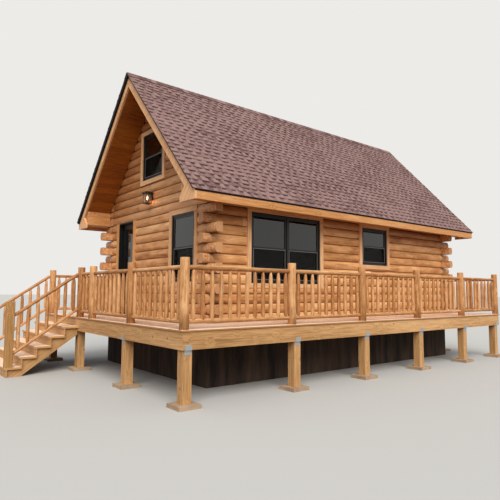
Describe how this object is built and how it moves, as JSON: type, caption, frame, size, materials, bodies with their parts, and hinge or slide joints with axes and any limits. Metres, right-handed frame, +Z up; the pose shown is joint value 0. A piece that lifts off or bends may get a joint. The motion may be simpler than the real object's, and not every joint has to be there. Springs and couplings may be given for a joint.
{
  "type": "log cabin",
  "caption": "Small gabled log cabin with corner-lapped logs, black windows, a hinged entry door and a raised wraparound deck with log railing and a stair.",
  "frame": {"origin": "on the ground under the middle of the whole outline, stair and footings included", "axes": "+X along the long front wall from the entry end to the far end, +Y from the front wall to the back wall, +Z up"},
  "size_m": [11.035, 6.38, 6.1556],
  "materials": {
    "stained_log": "satin honey stain over milled pine logs",
    "concrete": "rough cast concrete and block",
    "framing": "sawn pine",
    "floor_board": "planed pine boards",
    "shingle": "mineral granules on asphalt shingles",
    "trim_pine": "clear-stained sawn pine",
    "black_frame": "satin black",
    "window_glass": "clear",
    "threshold": "anodised dark",
    "black_metal": "satin black",
    "lantern_glass": "clear",
    "deck_board": "new treated pine boards",
    "treated_timber": "new pressure-treated pine",
    "galvanised": "galvanised",
    "peeled_pine": "peeled pine poles, clear stain"
  },
  "bodies": {
    "cabin": {"front_wall": "stained_log", "back_wall": "stained_log", "entry_wall_near": "stained_log", "entry_wall_far": "stained_log", "entry_gable": "stained_log", "far_wall": "stained_log", "far_gable": "stained_log", "foundation_long_walls": "concrete", "foundation_end_walls": "concrete", "footing_pads": "concrete", "floor_frame": "framing", "loft_beams": "framing", "cabin_floor": "floor_board", "loft_floor": "floor_board", "roof_front": "shingle", "roof_back": "shingle", "ridge_cap": "shingle", "eave_fascias": "trim_pine", "eave_soffits": "trim_pine", "eave_returns": "trim_pine", "left_rake_boards": "trim_pine", "right_rake_boards": "trim_pine", "window_casings": "trim_pine", "door_casings": "trim_pine", "window_frames": "black_frame", "door_jambs": "black_frame", "door_head": "black_frame", "window_glass": "window_glass", "door_threshold": "threshold", "jamb_hinges": "black_metal", "lantern": "black_metal", "lantern_glass": "lantern_glass", "deck_boards": "deck_board", "deck_frames": "treated_timber", "deck_columns": "treated_timber", "stair_stringers": "treated_timber", "stair_treads": "treated_timber", "stair_risers": "treated_timber", "stair_newels": "treated_timber", "post_caps": "galvanised", "rail_posts": "peeled_pine", "front_railing": "peeled_pine", "back_railing": "peeled_pine", "left_railing": "peeled_pine", "right_railing": "peeled_pine", "stair_railings": "peeled_pine"},
    "door": {"door_leaf": "black_frame", "door_glass": "window_glass", "door_handle": "black_metal", "leaf_hinges": "black_metal"}
  },
  "joints": [
    {"name": "door_hinge", "type": "hinge", "parent": "cabin", "child": "door", "pos_m": [-2.8875, 1.67, 2.104], "axis": [0, 0, 1], "range_deg": [0, 110]}
  ]
}
